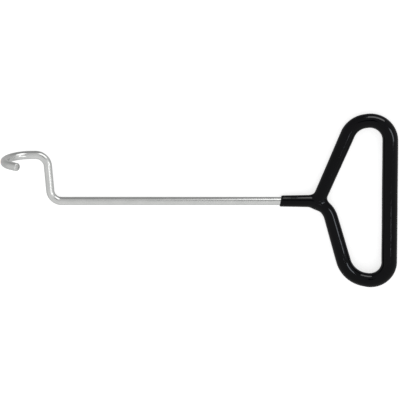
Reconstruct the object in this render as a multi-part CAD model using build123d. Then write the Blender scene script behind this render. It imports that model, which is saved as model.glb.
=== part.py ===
from build123d import *
import os
from math import asin, cos, degrees, radians, sin

# A pull hook with a loop handle, lying on a flat surface. Units are millimetres.
#
# One round steel bar makes the whole tool: an open hook, a short neck, a crank, a straight
# shaft and a closed loop handle. The loop's end comes back to the shaft, where a weld bead
# closes it. The loop and the last part of the shaft are dipped in vinyl, which is thin at
# the dip line and thickest on the grip, because the tool drains with its grip down.
#
# The bar is laid out in the tool's own plane: x runs along the shaft towards the grip, y is
# the side that the crank steps to, and z is the side that the hook curls to. The point
# (0, 0) is where the axes of the shaft and of the loop's returning arm cross.

# --- driving dimensions ------------------------------------------------------------------

BAR_RADIUS = 4.0

# Loop handle: corners of the bar's centreline, and the bend radius at each one.
SHAFT_CORNER = (7.8, 0.0)
FOOT_CORNER = (30.4, -76.9)
HEEL_CORNER = (71.1, -84.5)
TOE_CORNER = (69.1, 83.0)
HEAD_CORNER = (32.6, 78.4)
ARM_END = (0.0, 0.0)
LOOP_BENDS = (23.4, 27.1, 18.4, 19.9, 21.4)

# Crank and hook.
CRANK_X = -261.7  # where the crank's axis meets the shaft's axis
CRANK_LENGTH = 46.6  # between the two crank corners
CRANK_LEAN = radians(4.3)  # the crank leans towards the hook
NECK_DROP = radians(0.9)  # the neck falls slightly, back towards the shaft's line
NECK_LENGTH = 16.0  # from the upper crank corner to the start of the hook
CRANK_BENDS = (12.0, 11.0)  # neck to crank, crank to shaft
HOOK_RADIUS = 23.3  # of the bar's centreline
HOOK_SWEEP = 139.0  # degrees
HOOK_LEAN = radians(1.7)  # the curl leans from upright, back towards the shaft's line
TIP_LENGTH = 8.2  # straight length after the curl
TIP_FILLET = 1.2

# Vinyl.
DIP_X = -37.2  # where the dip line crosses the shaft's axis
DIP_SLANT = radians(9.5)  # how far the dip line is off square
DIP_FILLET = 0.7
DIP_OVERRUN = 4.0  # spare length beyond the dip line, which the slanted cut removes
# Outer radius where each straight or bend ends, from the dip line round to the weld.
VINYL_RADII = (5.5, 6.0, 6.8, 7.3, 6.8, 7.0, 7.8, 7.8, 6.9, 6.9, 7.2, 6.1)
CROTCH_FILLET = 3.0  # vinyl that gathers between the shaft and the returning arm

# Weld.
ROOT_GAP = 0.3  # between the coped end of the arm and the shaft
ARM_OVERRUN = 1.5  # how far the arm is carried past (0, 0), into the shaft
STUB_LENGTH = 16.0  # length of arm, from (0, 0), that is made with the cope
BEAD_RADIUS = 5.5  # where the bead is widest, beside the shaft
BEAD_TOE_RADIUS = 4.2  # where the bead ends, along the arm
BEAD_HEIGHT = 8.0  # along the arm, from (0, 0)

# --- centrelines -------------------------------------------------------------------------

arm_out = (Vector(*HEAD_CORNER) - Vector(*ARM_END)).normalized()
crank_up = Vector(-sin(CRANK_LEAN), cos(CRANK_LEAN))
neck_out = Vector(-cos(NECK_DROP), -sin(NECK_DROP))

lower_crank_corner = Vector(CRANK_X, 0)
upper_crank_corner = lower_crank_corner + crank_up * CRANK_LENGTH
hook_start = upper_crank_corner + neck_out * NECK_LENGTH


def on_arm(distance):
    """A point on the returning arm's axis, at a distance from (0, 0)."""
    return Vector(*ARM_END) + arm_out * distance


loop_corners = (SHAFT_CORNER, FOOT_CORNER, HEEL_CORNER, TOE_CORNER, HEAD_CORNER)
flat_path = FilletPolyline(
    hook_start,
    upper_crank_corner,
    lower_crank_corner,
    *loop_corners,
    on_arm(STUB_LENGTH),
    radius=[*CRANK_BENDS, *LOOP_BENDS],
)
coat_path = FilletPolyline(
    (DIP_X - DIP_OVERRUN, 0), *loop_corners, on_arm(-ARM_OVERRUN), radius=[*LOOP_BENDS]
)

# The hook curls in a plane that holds the neck and is nearly upright.
hook_up = Vector(0, -sin(HOOK_LEAN), cos(HOOK_LEAN))
hook_plane = Plane(origin=hook_start, x_dir=neck_out, z_dir=neck_out.cross(hook_up))
hook_curl = hook_plane * CenterArc((0, HOOK_RADIUS), HOOK_RADIUS, -90, HOOK_SWEEP)
hook_tip = Line(hook_curl @ 1, hook_curl @ 1 + hook_curl % 1 * TIP_LENGTH)

# --- solids ------------------------------------------------------------------------------


def cross_section(path, at, radius):
    """A disc square to a path at its start (0) or end (1)."""
    return Plane(origin=path @ at, x_dir=(0, 0, 1), z_dir=path % at) * Circle(radius)


def bent_bar(radius):
    """A bar of one radius from the hook's tip to where the coped end of the arm begins."""
    path = Wire([*flat_path.edges(), *hook_curl.edges(), *hook_tip.edges()])
    return sweep(cross_section(path, 0, radius), path=path)


def make_rod():
    """The whole bar: its tip is rounded, and its loop's end is coped to fit the shaft."""
    bar = bent_bar(BAR_RADIUS)
    tip_edge = bar.edges().filter_by(GeomType.CIRCLE).sort_by_distance(hook_tip @ 1)[0]
    bar = fillet(tip_edge, TIP_FILLET)
    base = Plane(origin=on_arm(-ARM_OVERRUN), z_dir=arm_out)
    stub = extrude(base * Circle(BAR_RADIUS), STUB_LENGTH + ARM_OVERRUN)
    return bar + (stub - bent_bar(BAR_RADIUS + ROOT_GAP))


def make_bead(rod):
    """The weld that fills the root gap and stands out round the end of the arm."""
    base = Plane(origin=on_arm(-ARM_OVERRUN), z_dir=arm_out)
    height = BEAD_HEIGHT + ARM_OVERRUN
    from_base = (Align.CENTER, Align.CENTER, Align.MIN)
    return base * Cone(BEAD_RADIUS, BEAD_TOE_RADIUS, height, align=from_base) - rod


def coated_length(edge, start_radius, end_radius):
    """One straight or bend of the dipped bar. Its radius changes evenly along it."""
    ends = [cross_section(edge, 0, start_radius), cross_section(edge, 1, end_radius)]
    return sweep(sections=ends, path=edge, multisection=True)


def make_grip(rod, bead):
    """The dipped vinyl: one coat over the loop, the weld and the last of the shaft."""
    radii = zip(VINYL_RADII, VINYL_RADII[1:])
    *lengths, arm = [coated_length(edge, *ends) for edge, ends in zip(coat_path.edges(), radii)]
    loop = Part() + lengths
    coat = loop + arm
    coat = fillet(new_edges(loop, arm, combined=coat), CROTCH_FILLET)
    dip_plane = Plane(origin=(DIP_X, 0, 0), z_dir=(cos(DIP_SLANT), -sin(DIP_SLANT), 0))
    coat = split(coat, bisect_by=dip_plane, keep=Keep.TOP)
    dip_face = coat.faces().filter_by(GeomType.PLANE).sort_by(Axis.X)[0]
    coat = fillet(dip_face.edges(), DIP_FILLET)
    return coat - rod - bead


def resting_tilt():
    """How far the tool leans, in degrees, to rest on its coat and on the hook's underside."""
    reach = [(edge @ 1).X - hook_start.X for edge in coat_path.edges()]
    rise = [radius - BAR_RADIUS for radius in VINYL_RADII[1:]]
    return max(degrees(asin(up / along)) for up, along in zip(rise, reach))


rod = make_rod()
bead = make_bead(rod)
grip = make_grip(rod, bead)
nodes = {"steel_rod": rod, "weld_bead": bead, "vinyl_grip": grip}

# --- placing: the origin is the bottom centre of the whole tool's box ----------------------

lean = Rot(0, -resting_tilt(), 0)
box = Compound([lean * node for node in nodes.values()]).bounding_box()
place = Pos(-box.center().X, -box.center().Y, -box.min.Z) * lean

os.makedirs("parts", exist_ok=True)
for name, node in nodes.items():
    export_step(place * node, f"parts/{name}.step")
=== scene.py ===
from math import asin, cos, pi, radians, sin, tan

import bmesh
import bpy
import numpy as np
from mathutils import Matrix, Vector


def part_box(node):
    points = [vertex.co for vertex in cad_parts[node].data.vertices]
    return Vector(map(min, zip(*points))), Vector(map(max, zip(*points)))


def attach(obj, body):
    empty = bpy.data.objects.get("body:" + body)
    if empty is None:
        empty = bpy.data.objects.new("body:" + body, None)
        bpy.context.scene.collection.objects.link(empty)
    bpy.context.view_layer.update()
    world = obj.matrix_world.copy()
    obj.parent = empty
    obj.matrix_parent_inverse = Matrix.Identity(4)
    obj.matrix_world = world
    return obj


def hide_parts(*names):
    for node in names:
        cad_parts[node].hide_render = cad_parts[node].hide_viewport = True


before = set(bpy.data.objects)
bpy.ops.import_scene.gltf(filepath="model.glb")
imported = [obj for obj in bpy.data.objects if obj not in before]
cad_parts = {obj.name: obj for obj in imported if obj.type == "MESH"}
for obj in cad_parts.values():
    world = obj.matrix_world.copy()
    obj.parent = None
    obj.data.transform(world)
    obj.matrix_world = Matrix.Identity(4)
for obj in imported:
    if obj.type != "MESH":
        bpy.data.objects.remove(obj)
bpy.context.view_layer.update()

# A pull hook with a loop handle, lying on a pale floor: a bright bent bar, and a glossy
# dipped coat over its loop. Both are made here as fine meshes about the bar's centreline.
# The meshes are worked out in the tool's own plane, in millimetres: x runs along the shaft
# towards the grip, y is the side that the crank steps to and z is the side that the hook
# curls to. Then they are leaned and moved onto the CAD nodes' boxes.

MM = 0.001

# --- the bar's centreline, as in the CAD model ----------------------------------------------

BAR_RADIUS = 4.0
CRANK_X = -261.7
CRANK_LENGTH = 46.6
CRANK_LEAN = radians(4.3)
NECK_DROP = radians(0.9)
NECK_LENGTH = 16.0
CRANK_BENDS = (12.0, 11.0)
HOOK_RADIUS = 23.3
HOOK_SWEEP = radians(139.0)
HOOK_LEAN = radians(1.7)
TIP_LENGTH = 8.2
TIP_FILLET = 1.2
LOOP_CORNERS = ((7.8, 0.0), (30.4, -76.9), (71.1, -84.5), (69.1, 83.0), (32.6, 78.4))
LOOP_BENDS = (23.4, 27.1, 18.4, 19.9, 21.4)
ROOT_GAP = 0.3  # between the coped end of the arm and the shaft
COPE_START = 8.0  # the arm's last full ring is this far from (0, 0)

# --- the coat's shape -----------------------------------------------------------------------

# Outer radius where each straight or bend ends, from the dip line round to the weld. The
# last is larger than in the CAD model, where a fillet limits it.
VINYL_RADII = (5.5, 6.0, 6.8, 7.3, 6.8, 7.0, 7.8, 7.8, 6.9, 6.9, 7.2, 6.5)
RADIUS_BLEND = 9.0  # length over which the radius eases from one stretch to the next
STATION_STEP = 0.5  # the coat's radius is worked out at places this far apart
ARM_OVERRUN = 1.5  # how far the coated arm is carried past (0, 0), into the shaft
DIP_X = -37.2  # where the dip line crosses the shaft's axis
DIP_SLANT = radians(9.5)
DIP_OVERRUN = 4.0  # spare length beyond the dip line, which the slanted cut removes
LIP_BLEND = 1.6  # rounds the edge at the dip line
CROTCH_BLEND = 5.0  # vinyl that gathers between the shaft and the returning arm
CROTCH_REACH = (12.0, 26.0)  # the gathering fades out between these distances from (0, 0)
CROTCH_HEIGHT = 6.0  # it thins towards this height above and below the bar's plane
SWELL_HEIGHT = 0.05  # of the slow unevenness that the dip leaves
VOXEL = 0.7
LIP_ZONE = 2.4  # the mesh is refined this near the dip line
LEAST_STEEPNESS = 0.05  # keeps a point from being thrown far where the distance is flat


def unit(vector):
    return vector / np.linalg.norm(vector)


def unit_rows(rows):
    return rows / np.linalg.norm(rows, axis=1)[:, None]


def in_3d(point):
    """A point of the tool's plane, or one already in 3-D, as a 3-D vector."""
    return np.array([*point, 0.0][:3], float)


class Straight:
    """A straight piece of a centreline."""

    def __init__(self, start, end):
        self.start = start
        self.length = np.linalg.norm(end - start)
        self.direction = unit(end - start)

    def at(self, distance):
        """Points and directions at distances along the piece."""
        points = self.start + self.direction * distance[:, None]
        return points, np.repeat(self.direction[None], len(distance), 0)

    def nearest(self, points):
        """How far along the piece each point's nearest place on it is."""
        return np.clip((points - self.start) @ self.direction, 0, self.length)


class Bend:
    """A bend of a centreline: an arc that starts at centre + out and sets off forward."""

    def __init__(self, centre, out, forward, turn):
        self.centre = centre
        self.out = unit(out)
        self.forward = unit(forward)
        self.radius = np.linalg.norm(out)
        self.turn = turn
        self.length = self.radius * turn

    def at(self, distance):
        angle = (distance / self.radius)[:, None]
        outward = self.out * np.cos(angle) + self.forward * np.sin(angle)
        onward = self.forward * np.cos(angle) - self.out * np.sin(angle)
        return self.centre + outward * self.radius, onward

    def nearest(self, points):
        offset = points - self.centre
        angle = np.arctan2(offset @ self.forward, offset @ self.out)
        past_middle = (angle - self.turn / 2 + pi) % (2 * pi) - pi
        return np.clip(past_middle + self.turn / 2, 0, self.turn) * self.radius


def filleted(corners, bends):
    """The straights and bends of a polyline whose corners are rounded."""
    corners = [in_3d(corner) for corner in corners]
    pieces = []
    start = corners[0]
    for before, corner, after, radius in zip(corners, corners[1:], corners[2:], bends):
        arriving, leaving = unit(corner - before), unit(after - corner)
        turn = np.arccos(arriving @ leaving)
        tangent = radius * tan(turn / 2)
        inward = unit(leaving - arriving * (arriving @ leaving))
        bend_start = corner - arriving * tangent
        pieces.append(Straight(start, bend_start))
        pieces.append(Bend(bend_start + inward * radius, -inward * radius, arriving, turn))
        start = corner + leaving * tangent
    pieces.append(Straight(start, corners[-1]))
    return pieces


def sampled(pieces, straight_step, bend_step):
    """Points and directions along a chain of pieces, with no point twice."""
    points, directions = [], []
    for piece in pieces:
        step = bend_step if isinstance(piece, Bend) else straight_step
        count = max(1, round(piece.length / step))
        distance = np.arange(1 if points else 0, count + 1) * piece.length / count
        new_points, new_directions = piece.at(distance)
        points.append(new_points)
        directions.append(new_directions)
    return np.concatenate(points), np.concatenate(directions)


UP = np.array([0.0, 0.0, 1.0])
ARM_OUT = unit(in_3d(LOOP_CORNERS[-1]))
NECK_OUT = np.array([-cos(NECK_DROP), -sin(NECK_DROP), 0.0])
LOWER_CRANK = np.array([CRANK_X, 0.0, 0.0])
UPPER_CRANK = LOWER_CRANK + CRANK_LENGTH * np.array([-sin(CRANK_LEAN), cos(CRANK_LEAN), 0.0])
HOOK_START = UPPER_CRANK + NECK_OUT * NECK_LENGTH
HOOK_SIDE = unit(np.cross([0.0, -sin(HOOK_LEAN), cos(HOOK_LEAN)], NECK_OUT))
HOOK_UP = np.cross(NECK_OUT, HOOK_SIDE)

# --- distances ------------------------------------------------------------------------------


def clearance(points, pieces, radius_at, before=0.0):
    """How far points stand off a round bar about pieces, whose radius varies along them."""
    nearest = np.full(len(points), np.inf)
    for piece in pieces:
        distance = piece.nearest(points)
        gap = np.linalg.norm(points - piece.at(distance)[0], axis=1)
        nearest = np.minimum(nearest, gap - radius_at(before + distance))
        before += piece.length
    return nearest


def smooth_min(a, b, blend):
    """The smaller of two distances, rounded where they are within blend of each other."""
    overlap = np.maximum(blend - np.abs(a - b), 0) / np.maximum(blend, 1e-6)
    return np.minimum(a, b) - overlap**2 * blend / 4


def past_dip(x, y):
    """How far a place is beyond the dip line, towards the hook."""
    return (DIP_X - x) * cos(DIP_SLANT) + y * sin(DIP_SLANT)


class Coat:
    """The outside of the dipped vinyl, as a distance that is zero on its surface."""

    def __init__(self):
        corners = ((DIP_X - DIP_OVERRUN, 0.0), *LOOP_CORNERS, -ARM_OUT * ARM_OVERRUN)
        self.pieces = filleted(corners, LOOP_BENDS)
        ends = np.cumsum([0.0] + [piece.length for piece in self.pieces])
        self.arm_start = ends[-2]
        self.stations = np.arange(0, ends[-1], STATION_STEP)
        raw = np.interp(self.stations, ends, VINYL_RADII)
        deviations = np.arange(-3, 3.01, STATION_STEP / (RADIUS_BLEND / 2))
        weights = np.exp(-(deviations**2) / 2)
        padded = np.pad(raw, len(deviations) // 2, mode="reflect", reflect_type="odd")
        self.radii = np.convolve(padded, weights / weights.sum(), mode="valid")[: len(raw)]

    def radius_at(self, distance):
        return np.interp(distance, self.stations, self.radii)

    def distance(self, points):
        *loop, arm = self.pieces
        shaft = clearance(points, loop, self.radius_at)
        returning = clearance(points, [arm], self.radius_at, self.arm_start)
        from_root = np.linalg.norm(points, axis=1)
        near, far = CROTCH_REACH
        fade = np.clip((far - from_root) / (far - near), 0, 1)
        level = np.clip(1 - (points[:, 2] / CROTCH_HEIGHT) ** 2, 0.25, 1)
        blend = CROTCH_BLEND * level * fade * fade * (3 - 2 * fade)
        blended = smooth_min(shaft, returning, blend)
        beyond = past_dip(points[:, 0], points[:, 1])
        return -smooth_min(-self.swell(points, blended), -beyond, LIP_BLEND)

    def swell(self, points, distance):
        """Slow unevenness in the coat's thickness, left by the dip."""
        x, y, z = points.T
        waves = np.sin(x / 9.0 + 1.3) * np.sin(y / 11.0 + 0.4) + 0.6 * np.sin(z / 3.5 + x / 14.0)
        return distance - SWELL_HEIGHT * waves

    def slope(self, points, step=0.02):
        columns = []
        for axis in np.eye(3):
            ahead = self.distance(points + axis * step)
            behind = self.distance(points - axis * step)
            columns.append((ahead - behind) / (2 * step))
        return np.stack(columns, 1)

    def settle(self, points, rounds):
        """Moves points onto the coat's surface."""
        for _ in range(rounds):
            slope = self.slope(points)
            steep = np.maximum((slope**2).sum(1), LEAST_STEEPNESS)
            points = points - slope * (self.distance(points) / steep)[:, None]
        return points


# --- meshes ---------------------------------------------------------------------------------


def ring_vertices(points, directions, side, radii, sides):
    """Rings of vertices square to a path. side is square to the path everywhere."""
    upward = np.cross(directions, side)
    angle = np.arange(sides)[None, :, None] * 2 * pi / sides
    circle = side[:, None, :] * np.cos(angle) + upward[:, None, :] * np.sin(angle)
    return points[:, None, :] + circle * np.asarray(radii)[:, None, None]


def tube_faces(rings, sides):
    """Quads between rings of vertices, with an n-gon over each end."""
    faces = [tuple(reversed(range(sides)))]
    for ring in range(rings - 1):
        for side in range(sides):
            after = (side + 1) % sides
            low, high = ring * sides, (ring + 1) * sides
            faces.append((low + side, low + after, high + after, high + side))
    faces.append(tuple(range((rings - 1) * sides, rings * sides)))
    return faces


def resting_tilt():
    """How far the tool leans to rest on its coat and on its hook's underside."""
    coat = Coat()
    ends = [piece.at(np.array([piece.length]))[0][0] for piece in coat.pieces]
    rises = [radius - BAR_RADIUS for radius in VINYL_RADII[1:]]
    return max(asin(rise / (end[0] - HOOK_START[0])) for rise, end in zip(rises, ends))


RESTING_TILT = resting_tilt()


def lean(points):
    """Turns points about Y, so that the tool rests on its coat and its hook's underside."""
    x, y, z = points.T
    c, s = cos(RESTING_TILT), sin(RESTING_TILT)
    return np.stack([x * c - z * s, y, x * s + z * c], 1)


def mesh_from(name, points, faces):
    mesh = bpy.data.meshes.new(name)
    mesh.from_pydata(points.tolist(), [], faces)
    mesh.update()
    mesh.shade_smooth()
    return mesh


def object_from(name, mesh):
    piece = bpy.data.objects.new(name, mesh)
    bpy.context.scene.collection.objects.link(piece)
    return piece


def coordinates(mesh):
    flat = np.empty(len(mesh.vertices) * 3)
    mesh.vertices.foreach_get("co", flat)
    return flat.reshape(-1, 3)


def store_vector(mesh, name, vectors):
    """Keeps a vector for each vertex, for the materials to read."""
    layer = mesh.attributes.new(name, "FLOAT_VECTOR", "POINT")
    layer.data.foreach_set("vector", np.ascontiguousarray(vectors, np.float32).ravel())


# --- the bar --------------------------------------------------------------------------------

BAR_SIDES = 64
BEND_STEP = 0.75
STRAIGHT_STEP = 3.0
TIP_RINGS = 7


def rod_path():
    """The bar from the hook's tip to the weld, with the vector that stays square to it."""
    hook = Bend(HOOK_START + HOOK_UP * HOOK_RADIUS, -HOOK_UP * HOOK_RADIUS, NECK_OUT, HOOK_SWEEP)
    curl_end, tip_out = hook.at(np.array([hook.length]))
    tip = Straight(curl_end[0], curl_end[0] + tip_out[0] * (TIP_LENGTH - TIP_FILLET))
    hook_points, hook_directions = sampled([hook, tip], BEND_STEP, BEND_STEP)
    hook_points, hook_directions = hook_points[:0:-1], -hook_directions[:0:-1]
    hook_sides = np.repeat(np.cross(NECK_OUT, HOOK_UP)[None], len(hook_points), 0)

    corners = (HOOK_START, UPPER_CRANK, LOWER_CRANK, *LOOP_CORNERS, ARM_OUT * COPE_START)
    bar = filleted(corners, (*CRANK_BENDS, *LOOP_BENDS))
    points, directions = sampled(bar, STRAIGHT_STEP, BEND_STEP)
    return (
        np.concatenate([hook_points, points]),
        np.concatenate([hook_directions, directions]),
        np.concatenate([hook_sides, np.cross(UP, directions)]),
    )


def rounded_tip(point, direction, side):
    """The rings that round off the cut end of the bar, from its flat face outwards."""
    angle = np.linspace(pi / 2, 0, TIP_RINGS + 1)[:-1]
    depth = TIP_FILLET * np.sin(angle)
    inset = TIP_FILLET * (1 - np.cos(angle))
    points = point - direction * depth[:, None]
    count = len(points)
    return ring_vertices(
        points,
        np.repeat(direction[None], count, 0),
        np.repeat(side[None], count, 0),
        BAR_RADIUS - inset,
        BAR_SIDES,
    )


def coped_ring(ring):
    """Runs the arm's last ring on until it is the root gap from the shaft, step by step."""
    shaft = filleted(((CRANK_X, 0.0), *LOOP_CORNERS[:2]), LOOP_BENDS[:1])[:2]
    for _ in range(40):
        gap = clearance(ring, shaft, lambda distance: BAR_RADIUS + ROOT_GAP)
        ring = ring - ARM_OUT * gap[:, None]
    return ring


def make_rod():
    """The whole bent bar: a rounded tip at the hook, and a coped end at the weld."""
    points, directions, side = rod_path()
    radii = np.full(len(points), BAR_RADIUS)
    body = ring_vertices(points, directions, side, radii, BAR_SIDES)
    tip = rounded_tip(points[0], directions[0], side[0])
    rings = np.concatenate([tip, body, coped_ring(body[-1])[None]])
    vertices = rings.reshape(-1, 3)
    mesh = mesh_from("bent_bar", vertices, tube_faces(len(rings), BAR_SIDES))

    along = np.cumsum(np.r_[0, np.linalg.norm(np.diff(rings.mean(1), axis=0), axis=1)])
    angle = np.arange(BAR_SIDES) * 2 * pi / BAR_SIDES
    straightened = np.empty(rings.shape)
    straightened[:, :, 0] = along[:, None]
    straightened[:, :, 1] = BAR_RADIUS * np.cos(angle)
    straightened[:, :, 2] = BAR_RADIUS * np.sin(angle)
    store_vector(mesh, "straightened", straightened.reshape(-1, 3))
    return object_from("bent_bar", mesh)


# --- the coat's skin ------------------------------------------------------------------------

COAT_SIDES = 40
COAT_STEP = 2.0


def rough_coat(coat):
    """The coat's tubes joined and remeshed into one even skin, near the final surface."""
    *loop, arm = coat.pieces
    vertices, faces = [], []
    before = 0.0
    for chain in (loop, [arm]):
        points, directions = sampled(chain, COAT_STEP, COAT_STEP)
        steps = np.linalg.norm(np.diff(points, axis=0), axis=1)
        along = before + np.cumsum(np.r_[0, steps])
        rings = ring_vertices(
            points, directions, np.cross(UP, directions), coat.radius_at(along), COAT_SIDES
        )
        offset = len(vertices)
        vertices.extend(rings.reshape(-1, 3).tolist())
        faces.extend(
            tuple(corner + offset for corner in face)
            for face in tube_faces(len(rings), COAT_SIDES)
        )
        before = coat.arm_start
    piece = object_from("rough_coat", mesh_from("rough_coat", np.array(vertices), faces))
    remesh = piece.modifiers.new("even_skin", "REMESH")
    remesh.mode = "VOXEL"
    remesh.voxel_size = VOXEL
    remesh.adaptivity = 0
    evaluated = piece.evaluated_get(bpy.context.evaluated_depsgraph_get())
    skin = bpy.data.meshes.new_from_object(evaluated)
    bpy.data.objects.remove(piece)
    return skin


def refine_lip(skin):
    """Splits the faces near the dip line, so that its rounded edge is smooth."""
    work = bmesh.new()
    work.from_mesh(skin)
    for zone in (LIP_ZONE, LIP_ZONE * 0.6):  # twice, the second time nearer
        edges = [
            edge
            for edge in work.edges
            if all(abs(past_dip(corner.co.x, corner.co.y)) < zone for corner in edge.verts)
        ]
        bmesh.ops.subdivide_edges(work, edges=edges, cuts=1, use_grid_fill=True)
    work.to_mesh(skin)
    work.free()


def make_coat():
    """The dipped vinyl, as one smooth skin with a rounded lip at the dip line."""
    coat = Coat()
    skin = rough_coat(coat)
    skin.vertices.foreach_set("co", coat.settle(coordinates(skin), 6).ravel())
    refine_lip(skin)
    points = coat.settle(coordinates(skin), 4)
    skin.vertices.foreach_set("co", points.ravel())
    skin.name = "dipped_coat"
    skin.update()
    skin.shade_smooth()
    normals = unit_rows(coat.slope(points))
    return object_from("dipped_coat", skin), normals


rod = make_rod()
coat_piece, coat_normals = make_coat()

rod_box_low = (lean(coordinates(rod.data)) * MM).min(0)
SHIFT = np.array(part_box("steel_rod")[0]) - rod_box_low


def place(piece, normals=None):
    """Leans a piece made in the tool's plane and moves it onto the CAD model."""
    mesh = piece.data
    points = lean(coordinates(mesh)) * MM + SHIFT
    mesh.vertices.foreach_set("co", points.ravel())
    mesh.update()
    if normals is not None:
        mesh.normals_split_custom_set_from_vertices(lean(normals).tolist())


place(rod)
place(coat_piece, coat_normals)

# --- materials ------------------------------------------------------------------------------


class Nodes:
    """A small helper for building a material's nodes."""

    def __init__(self, name):
        self.material = bpy.data.materials.new(name)
        self.material.use_nodes = True
        self.tree = self.material.node_tree
        self.shader = self.tree.nodes["Principled BSDF"]

    def add(self, kind, inputs=(), **settings):
        node = self.tree.nodes.new("ShaderNode" + kind)
        for key, value in settings.items():
            setattr(node, key, value)
        for key, value in dict(inputs).items():
            self.feed(node.inputs[key], value)
        return node

    def feed(self, socket, value):
        if isinstance(value, bpy.types.NodeSocket):
            self.tree.links.new(value, socket)
        else:
            socket.default_value = value

    def object_space(self, scale):
        """Object coordinates in millimetres times a scale."""
        place = self.add("TexCoord").outputs["Object"]
        return self.scaled(place, (1000 * scale,) * 3)

    def scaled(self, vector, scale):
        mapping = self.add("Mapping", {"Vector": vector, "Scale": scale})
        return mapping.outputs["Vector"]

    def noise(self, vector, detail=3.0, roughness=0.5):
        settings = {"Vector": vector, "Scale": 1.0, "Detail": detail, "Roughness": roughness}
        return self.add("TexNoise", settings).outputs["Fac"]

    def between(self, factor, low, high):
        """A number that goes from low to high as a noise goes over its usual spread."""
        spread = {"Value": factor, "From Min": 0.3, "From Max": 0.7, "To Min": low, "To Max": high}
        return self.add("MapRange", spread).outputs["Result"]

    def ramp(self, factor, dark, light):
        ramp = self.add("ValToRGB", {"Fac": factor})
        ramp.color_ramp.elements[0].position = 0.3
        ramp.color_ramp.elements[1].position = 0.7
        ramp.color_ramp.elements[0].color = (*dark, 1)
        ramp.color_ramp.elements[1].color = (*light, 1)
        return ramp.outputs["Color"]

    def bump(self, height, distance, strength=1.0, normal=None):
        inputs = {"Height": height, "Distance": distance, "Strength": strength}
        if normal is not None:
            inputs["Normal"] = normal
        return self.add("Bump", inputs).outputs["Normal"]

    def finish(self, **inputs):
        for key, value in inputs.items():
            self.feed(self.shader.inputs[key.replace("_", " ")], value)
        return self.material


def bright_steel():
    """Bright plated drawn bar: faint lines along it, and soft blotches in the plating."""
    nodes = Nodes("bright_steel")
    straightened = nodes.add("Attribute", attribute_name="straightened").outputs["Vector"]
    lines = nodes.noise(nodes.scaled(straightened, (0.01, 2.5, 2.5)), 1.0)
    blotches = nodes.noise(nodes.scaled(straightened, (0.09, 0.22, 0.22)), 3.0)
    grain = nodes.noise(nodes.scaled(straightened, (2.4, 3.2, 3.2)), 2.0)
    fine = nodes.bump(grain, 0.000001)
    return nodes.finish(
        Base_Color=nodes.ramp(blotches, (0.70, 0.71, 0.70), (0.77, 0.775, 0.765)),
        Metallic=1.0,
        Roughness=nodes.between(lines, 0.18, 0.23),
        Normal=nodes.bump(lines, 0.000002, normal=fine),
    )


def black_vinyl():
    """Glossy dipped vinyl, with a slight orange peel and slow waves from the dip."""
    nodes = Nodes("black_vinyl")
    peel = nodes.noise(nodes.object_space(0.55), 2.0)
    waves = nodes.noise(nodes.object_space(0.09), 1.0)
    clouds = nodes.noise(nodes.object_space(0.03), 3.0)
    slow = nodes.bump(waves, 0.00015)
    return nodes.finish(
        Base_Color=nodes.ramp(clouds, (0.0006, 0.0006, 0.0010), (0.0014, 0.0014, 0.0021)),
        Roughness=nodes.between(clouds, 0.06, 0.10),
        Specular_IOR_Level=0.13,
        Normal=nodes.bump(peel, 0.00002, normal=slow),
    )


def weld_steel():
    """The weld bead under the coat: dull, scaled and rippled."""
    nodes = Nodes("weld_steel")
    scale = nodes.noise(nodes.object_space(0.4), 4.0)
    ripples = nodes.noise(nodes.object_space(0.9), 2.0)
    return nodes.finish(
        Base_Color=nodes.ramp(scale, (0.18, 0.17, 0.16), (0.42, 0.41, 0.40)),
        Metallic=1.0,
        Roughness=nodes.between(scale, 0.4, 0.6),
        Normal=nodes.bump(ripples, 0.0002),
    )


def pale_floor():
    """A pale table lit from beneath, as for product pictures, so that shadows stay faint."""
    nodes = Nodes("pale_floor")
    clouds = nodes.noise(nodes.object_space(0.004), 2.0)
    return nodes.finish(
        Base_Color=nodes.ramp(clouds, (0.77, 0.77, 0.77), (0.79, 0.79, 0.79)),
        Roughness=0.9,
        Emission_Color=(1.0, 1.0, 1.0, 1.0),
        Emission_Strength=FLOOR_GLOW,
    )


def give(piece, material):
    piece.data.materials.clear()
    piece.data.materials.append(material)


give(rod, bright_steel())
give(coat_piece, black_vinyl())
weld_material = weld_steel()
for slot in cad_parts["weld_bead"].material_slots:
    slot.material = weld_material

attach(rod, "root")
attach(coat_piece, "root")
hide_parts("steel_rod")
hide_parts("vinyl_grip")

# --- the studio -----------------------------------------------------------------------------

SHAFT_HEIGHT = 0.0058
FLOOR_SIZE = 3.0
FLOOR_GLOW = 0.65

floor_corners = np.array([[-1, -1, 0], [1, -1, 0], [1, 1, 0], [-1, 1, 0]]) * FLOOR_SIZE
floor = object_from("floor", mesh_from("floor", floor_corners, [(0, 1, 2, 3)]))
give(floor, pale_floor())
floor.visible_glossy = False  # so that the pale floor doesn't bleach the bar's edges


def look(location, target, upward):
    """A pose at a location that looks at a target, with upward up in its picture."""
    back = (location - target).normalized()
    right = upward.cross(back).normalized()
    turned = Matrix((right, back.cross(right), back)).transposed().to_4x4()
    return Matrix.Translation(location) @ turned


def soft_box(name, piece, location, size, radiance, colour=(1.0, 1.0, 1.0)):
    """A rectangular light of a given brightness, which faces the tool and lights one piece."""
    data = bpy.data.lights.new(name, "AREA")
    data.shape = "RECTANGLE"
    data.size, data.size_y = size
    data.energy = radiance * pi * size[0] * size[1]
    data.color = colour
    light = bpy.data.objects.new(name, data)
    bpy.context.scene.collection.objects.link(light)
    lit_pieces = bpy.data.collections.new(name)
    lit_pieces.objects.link(piece)
    light.light_linking.receiver_collection = lit_pieces
    target = Vector((location[0] * 0.5, 0, SHAFT_HEIGHT))
    light.matrix_world = look(Vector(location), target, Vector((0, 0, 1)))


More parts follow.
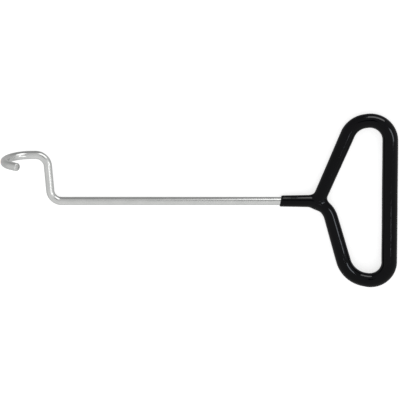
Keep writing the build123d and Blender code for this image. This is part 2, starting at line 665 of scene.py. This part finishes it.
CAMERA_TILT = 0.243  # how far the view leans from straight down, towards the crank's side
CAMERA_DISTANCE = 2.178
AIM = (-115.9, 1.0, 0.0)  # in the tool's plane, millimetres
camera_data = bpy.data.cameras.new("camera")
camera_data.lens = 200
camera_data.sensor_width = 36
camera = bpy.data.objects.new("camera", camera_data)
bpy.context.scene.collection.objects.link(camera)
aim = Vector(lean(np.array([AIM]))[0] * MM + SHIFT)
backward = Vector(lean(np.array([[0, sin(CAMERA_TILT), cos(CAMERA_TILT)]]))[0])
upward = Vector(lean(np.array([[0, cos(CAMERA_TILT), -sin(CAMERA_TILT)]]))[0])
camera.matrix_world = look(aim + backward * CAMERA_DISTANCE, aim, upward)
bpy.context.scene.camera = camera

# The steel mirrors a box far more strongly than the vinyl does, so each has its own boxes.
COOL = (0.84, 0.91, 1.0)
soft_box("steel_top", rod, (0.45, 0.82, 0.38), (0.80, 0.70), 1.12)
soft_box("steel_right", rod, (0.87, 0.09, 0.80), (0.42, 0.30), 1.8)
soft_box("steel_over", rod, (0.54, -0.30, 1.25), (0.50, 0.70), 0.94)
soft_box("vinyl_top", coat_piece, (0.43, 0.85, 0.22), (0.70, 0.40), 9.0)
soft_box("vinyl_right", coat_piece, (0.87, 0.09, 0.80), (0.42, 0.25), 13.0, COOL)
soft_box("vinyl_spot", coat_piece, (0.60, -0.42, 1.50), (0.08, 0.06), 18.0, COOL)

# A dark strip over the tool, seen only in its reflections. It is narrow over the middle of
# the shaft and widens towards the grip.
FLAG_HEIGHT = 0.93
FLAG_CORNERS = np.array([[-0.10, 0.39, 0], [0.30, 0.15, 0], [0.30, 0.63, 0], [-0.10, 0.40, 0]])
flag_points = FLAG_CORNERS + [0, 0, FLAG_HEIGHT]
flag = object_from("flag", mesh_from("flag", flag_points, [(0, 1, 2, 3)]))
flag.visible_camera = False
flag.visible_diffuse = False
flag.visible_shadow = False
give(flag, Nodes("flag_cloth").finish(Base_Color=(0.02, 0.02, 0.02, 1.0), Roughness=1.0))


DIM_SIDE = (0.0, 0.966, -0.259)  # the direction that the world is dimmest in
# The world's brightness, from the side away from DIM_SIDE (0) round to DIM_SIDE (1).
WORLD_LEVELS = ((0.0, 0.78), (0.5, 0.68), (0.72, 0.62), (0.86, 0.55), (0.95, 0.38), (1.0, 0.33))
LEVEL_BELOW = 0.82  # how much of that is left under the horizon
BACKDROP_LEVEL = 0.92


def studio_world():
    """Soft light from all round, dim low on the crank's side, behind a plain pale backdrop."""
    world = bpy.data.worlds.new("studio")
    world.use_nodes = True
    tree = world.node_tree
    direction = tree.nodes.new("ShaderNodeTexCoord").outputs["Generated"]

    towards_dim_side = tree.nodes.new("ShaderNodeVectorMath")
    towards_dim_side.operation = "DOT_PRODUCT"
    towards_dim_side.inputs[1].default_value = DIM_SIDE
    tree.links.new(direction, towards_dim_side.inputs[0])
    fade = tree.nodes.new("ShaderNodeMapRange")
    fade.inputs["From Min"].default_value = -1.0
    tree.links.new(towards_dim_side.outputs["Value"], fade.inputs["Value"])
    levels = tree.nodes.new("ShaderNodeValToRGB")
    stops = levels.color_ramp.elements
    stops.remove(stops[1])
    for where, level in WORLD_LEVELS:
        stops.new(where).color = (level, level, level, 1)
    stops.remove(stops[0])
    tree.links.new(fade.outputs["Result"], levels.inputs["Fac"])

    split = tree.nodes.new("ShaderNodeSeparateXYZ")
    tree.links.new(direction, split.inputs["Vector"])
    below = tree.nodes.new("ShaderNodeMapRange")
    near_horizon = {"From Min": -0.3, "From Max": 0.1, "To Min": LEVEL_BELOW, "To Max": 1.0}
    for key, value in near_horizon.items():
        below.inputs[key].default_value = value
    tree.links.new(split.outputs["Z"], below.inputs["Value"])
    light = tree.nodes["Background"]
    tree.links.new(levels.outputs["Color"], light.inputs["Color"])
    tree.links.new(below.outputs["Result"], light.inputs["Strength"])

    backdrop = tree.nodes.new("ShaderNodeBackground")
    backdrop.inputs["Color"].default_value = (BACKDROP_LEVEL,) * 3 + (1,)
    choice = tree.nodes.new("ShaderNodeMixShader")
    tree.links.new(tree.nodes.new("ShaderNodeLightPath").outputs["Is Camera Ray"], choice.inputs[0])
    tree.links.new(light.outputs[0], choice.inputs[1])
    tree.links.new(backdrop.outputs[0], choice.inputs[2])
    tree.links.new(choice.outputs[0], tree.nodes["World Output"].inputs["Surface"])
    return world


bpy.context.scene.world = studio_world()
bpy.context.scene.view_settings.view_transform = "Standard"
